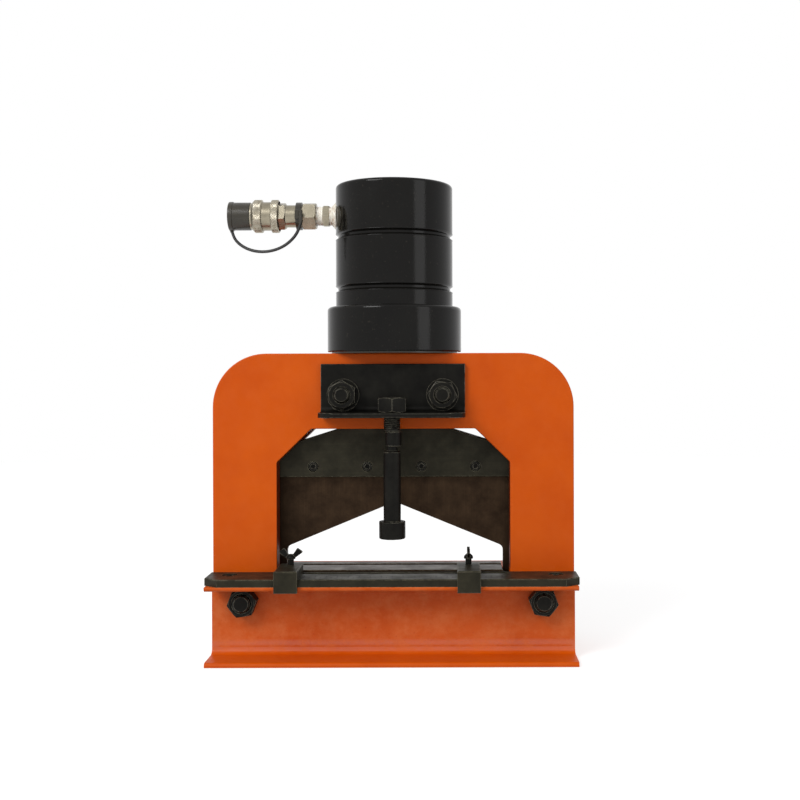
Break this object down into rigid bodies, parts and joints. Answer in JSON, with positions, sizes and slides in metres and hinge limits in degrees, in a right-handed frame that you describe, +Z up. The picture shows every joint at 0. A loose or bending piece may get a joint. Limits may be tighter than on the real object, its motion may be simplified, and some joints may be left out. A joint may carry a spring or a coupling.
{
  "type": "hydraulic busbar cutter",
  "caption": "Orange press frame with a black hydraulic cylinder that drives a double-slope blade down between two lower blades, with a scale, sliding stops and a hold-down.",
  "frame": {"origin": "on the ground, in the middle of the base channels' outline", "axes": "+Z up along the cylinder, +X to the operator's right along the throat's width, +Y away from the operator through the throat"},
  "size_m": [0.34, 0.147, 0.4432],
  "materials": {
    "orange_paint": "satin",
    "black_paint": "gloss",
    "black_oxide": "satin",
    "dark_plate": "satin",
    "blade_steel": "satin",
    "ground_steel": "satin",
    "chrome_rod": "polished",
    "zinc": "satin",
    "spring_steel": "satin",
    "bronze": "satin",
    "white_tape": "matte",
    "grey_plastic": "matte",
    "black_rubber": "matte",
    "cord_black": "gloss"
  },
  "bodies": {
    "base": {"front_frame_plate": "orange_paint", "rear_frame_plate": "orange_paint", "left_leg_spacer": "orange_paint", "right_leg_spacer": "orange_paint", "left_crown_block": "orange_paint", "right_crown_block": "orange_paint", "front_base_channel": "orange_paint", "rear_base_channel": "orange_paint", "base_bolts": "black_oxide", "frame_nuts": "black_oxide", "blade_bed": "orange_paint", "front_lower_blade": "blade_steel", "rear_lower_blade": "blade_steel", "lower_blade_screws": "black_oxide", "scale_plate": "dark_plate", "scale_plate_screws": "black_oxide", "hold_down_bracket": "black_oxide", "bracket_bolts": "black_oxide", "bracket_washers": "black_oxide", "hold_down_stud": "black_oxide", "hold_down_nut": "black_oxide", "stop_collar": "black_oxide", "cylinder_barrel": "black_paint", "cylinder_collar": "black_paint", "mount_ring": "black_rubber", "guide_bush": "bronze", "rod_wiper": "black_rubber", "return_spring": "spring_steel", "port_boss": "zinc", "port_nipple": "zinc", "thread_tape": "white_tape", "union_nut": "zinc", "coupler_body": "zinc", "lock_balls": "ground_steel", "sleeve_stop_ring": "zinc", "sleeve_spring": "spring_steel", "valve_spring": "spring_steel", "lanyard_ring": "black_rubber", "lanyard": "cord_black"},
    "ram": {"ram_rod": "chrome_rod", "piston": "ground_steel", "piston_seal": "black_rubber", "piston_wear_ring": "grey_plastic", "piston_screw": "black_oxide", "ram_pin": "ground_steel", "front_holder_plate": "dark_plate", "rear_holder_plate": "dark_plate", "holder_screws": "black_oxide", "upper_blade": "blade_steel"},
    "left_stop": {"left_stop_block": "dark_plate", "left_clamp_nut": "black_oxide"},
    "left_wing": {"left_wing_screw": "black_oxide"},
    "right_stop": {"right_stop_block": "dark_plate", "right_clamp_nut": "black_oxide"},
    "right_wing": {"right_wing_screw": "black_oxide"},
    "foot": {"hold_down_foot": "black_oxide"},
    "sleeve": {"hold_down_sleeve": "black_oxide"},
    "coupler_ring": {"coupler_sleeve": "zinc"},
    "valve": {"coupler_valve": "ground_steel"},
    "plug": {"dust_plug": "black_rubber"}
  },
  "joints": [
    {"name": "ram_stroke", "type": "slide", "parent": "base", "child": "ram", "axis": [0, 0, -1], "range_m": [0, 0.061], "stiffness_N_per_m": 5500, "springref_m": -0.025, "deforming": ["return_spring"]},
    {"name": "left_stop_slide", "type": "slide", "parent": "base", "child": "left_stop", "axis": [1, 0, 0], "range_m": [-0.003, 0.07]},
    {"name": "right_stop_slide", "type": "slide", "parent": "base", "child": "right_stop", "axis": [1, 0, 0], "range_m": [-0.045, 0.0284]},
    {"name": "left_wing_turn", "type": "hinge", "parent": "left_stop", "child": "left_wing", "pos_m": [-0.0947, -0.0365, 0.0925], "axis": [0, 0, 1], "range_deg": [-180, 180]},
    {"name": "right_wing_turn", "type": "hinge", "parent": "right_stop", "child": "right_wing", "pos_m": [0.0697, -0.0365, 0.0925], "axis": [0, 0, 1], "range_deg": [-180, 180]},
    {"name": "hold_down_travel", "type": "slide", "parent": "base", "child": "foot", "axis": [0, 0, -1], "range_m": [-0.00337, 0.031]},
    {"name": "hold_down_turn", "type": "hinge", "parent": "foot", "child": "sleeve", "pos_m": [0, -0.0505, 0.129], "axis": [0, 0, -1], "range_deg": [-812, 7445]},
    {"name": "coupler_ring_slide", "type": "slide", "parent": "base", "child": "coupler_ring", "axis": [1, 0, 0], "range_m": [0, 0.005], "stiffness_N_per_m": 1500, "springref_m": -0.004, "deforming": ["sleeve_spring"]},
    {"name": "valve_slide", "type": "slide", "parent": "base", "child": "valve", "axis": [1, 0, 0], "range_m": [0, 0.004], "stiffness_N_per_m": 1500, "springref_m": -0.002, "deforming": ["valve_spring"]},
    {"name": "plug_pull", "type": "slide", "parent": "base", "child": "plug", "axis": [-1, 0, 0], "range_m": [0, 0.02], "deforming": ["lanyard"]}
  ],
  "couplings": [
    {"joint": "hold_down_turn", "follows": "hold_down_travel", "rad_per_m": 4188.8}
  ]
}
